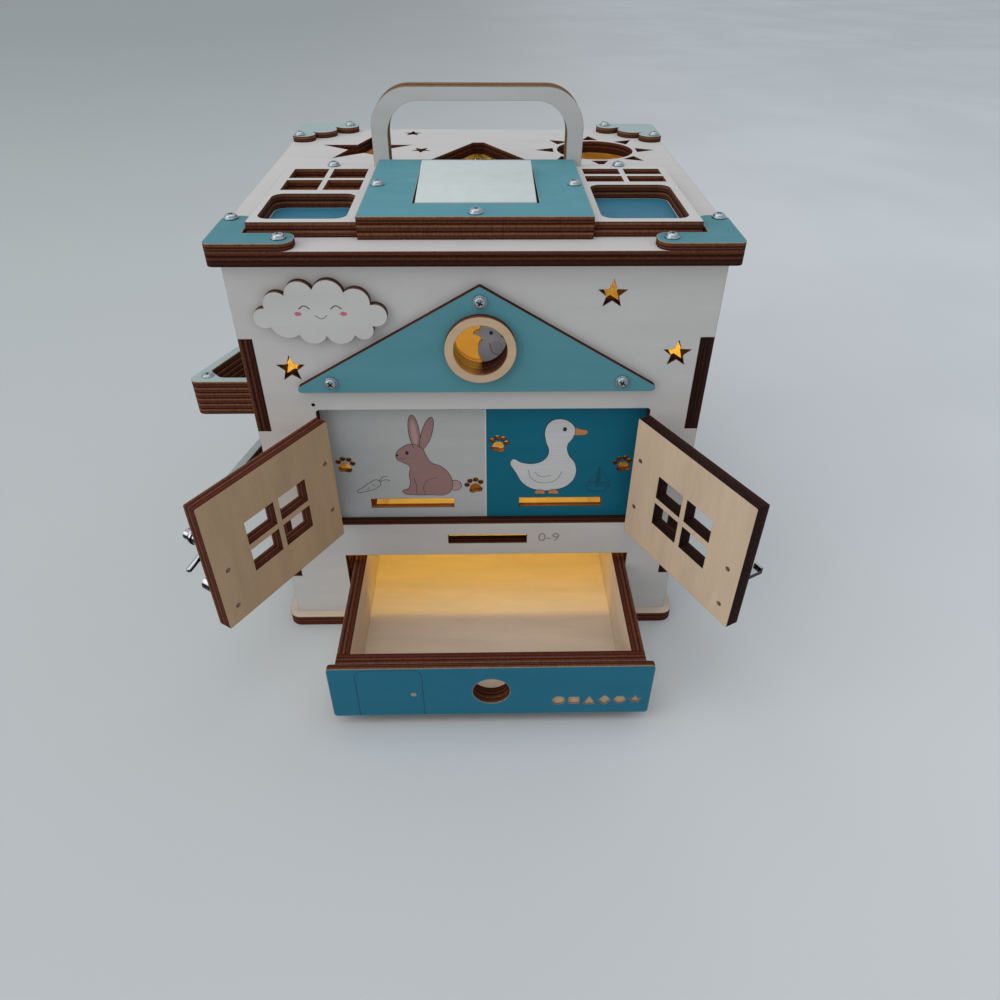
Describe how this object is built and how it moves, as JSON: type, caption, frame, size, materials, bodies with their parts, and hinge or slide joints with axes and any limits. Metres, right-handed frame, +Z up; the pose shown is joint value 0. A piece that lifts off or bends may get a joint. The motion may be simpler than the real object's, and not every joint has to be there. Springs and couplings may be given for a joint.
{
  "type": "activity cube",
  "caption": "Plywood activity cube shaped like a house, with hinged front doors and a latch, a drawer, a rocker light switch, roof cut-outs, side trays and a carrying handle.",
  "frame": {"origin": "centre of the underside of the base plate, on the surface that the cube stands on", "axes": "+X to the right seen from the front, +Y from the front into the house, +Z up"},
  "size_m": [0.258, 0.2764, 0.246],
  "materials": {
    "white_board": "matte painted birch plywood with laser-browned edges",
    "teal_board": "matte teal painted birch plywood with laser-browned edges",
    "mint_board": "matte mint painted birch plywood with laser-browned edges",
    "printed_board": "matte printed birch plywood, light grey left half and dark teal right half",
    "grey_board": "matte grey painted birch plywood",
    "bare_birch": "bare sanded birch plywood with laser-browned edges",
    "zinc_steel": "bright zinc plated steel",
    "chrome_steel": "polished chrome plated steel",
    "white_plastic": "smooth moulded white plastic",
    "black_plastic": "fine textured black plastic",
    "grey_plastic": "matte grey plastic",
    "warm_lens": "frosted warm lens",
    "lead_jacket": "soft plastic insulation",
    "cell_jacket": "printed metal jacket"
  },
  "bodies": {
    "house": {"base_plate": "bare_birch", "front_wall": "white_board", "back_wall": "white_board", "left_wall": "white_board", "right_wall": "white_board", "roof_plate": "white_board", "door_lining": "printed_board", "gable_plate": "teal_board", "porthole_ring": "bare_birch", "porthole_picture": "grey_board", "cloud_plate": "white_board", "left_frame_lower": "white_board", "left_frame_upper": "white_board", "right_frame_lower": "white_board", "right_frame_upper": "white_board", "block_core": "teal_board", "block_top": "teal_board", "switch_body": "white_plastic", "lamp": "warm_lens", "battery_box": "black_plastic", "battery_cells": "cell_jacket", "battery_cover": "black_plastic", "switch_leads": "lead_jacket", "handle_front_layer": "white_board", "handle_rear_layer": "white_board", "left_front_bracket": "teal_board", "right_front_bracket": "teal_board", "left_rear_bracket": "mint_board", "right_rear_bracket": "mint_board", "roof_screws": "zinc_steel", "gable_screws": "zinc_steel", "left_wall_leaf": "zinc_steel", "right_wall_leaf": "zinc_steel", "hinge_pins": "zinc_steel", "wall_leaf_screws": "zinc_steel", "drawer_guides": "bare_birch", "upper_tray_top": "mint_board", "upper_tray_stack": "mint_board", "lower_tray_top": "mint_board", "lower_tray_stack": "mint_board", "tray_screws": "zinc_steel", "arched_plate": "grey_plastic", "back_bolt": "zinc_steel"},
    "left_door": {"left_door": "bare_birch", "left_door_leaf": "zinc_steel", "left_door_screws": "zinc_steel", "latch_plate": "chrome_steel", "left_pull": "chrome_steel"},
    "latch": {"latch_lever": "chrome_steel"},
    "right_door": {"right_door": "bare_birch", "right_door_leaf": "zinc_steel", "right_door_screws": "zinc_steel", "keeper_plate": "chrome_steel", "right_pull": "chrome_steel"},
    "drawer": {"drawer_panel": "teal_board", "drawer_front": "bare_birch", "drawer_sides": "bare_birch", "drawer_back": "bare_birch", "drawer_bottom": "bare_birch"},
    "rocker": {"rocker_key": "white_plastic"}
  },
  "joints": [
    {"name": "left_door_swing", "type": "hinge", "parent": "house", "child": "left_door", "pos_m": [-0.0729, -0.102, 0.0988], "axis": [0, 0, 1], "range_deg": [-20, 122.1]},
    {"name": "right_door_swing", "type": "hinge", "parent": "house", "child": "right_door", "pos_m": [0.0775, -0.102, 0.0988], "axis": [0, 0, 1], "range_deg": [-117.5, 24.6]},
    {"name": "latch_turn", "type": "hinge", "parent": "left_door", "child": "latch", "pos_m": [-0.10751, -0.16056, 0.1071], "axis": [-0.8471, 0.5314, 0], "range_deg": [-13, 110]},
    {"name": "drawer_slide", "type": "slide", "parent": "house", "child": "drawer", "axis": [0, -1, 0], "range_m": [-0.0663, 0.03]},
    {"name": "rocker_tilt", "type": "hinge", "parent": "house", "child": "rocker", "pos_m": [-0.00015, -0.0483, 0.211], "axis": [1, 0, 0], "range_deg": [-9.4, 0]}
  ]
}
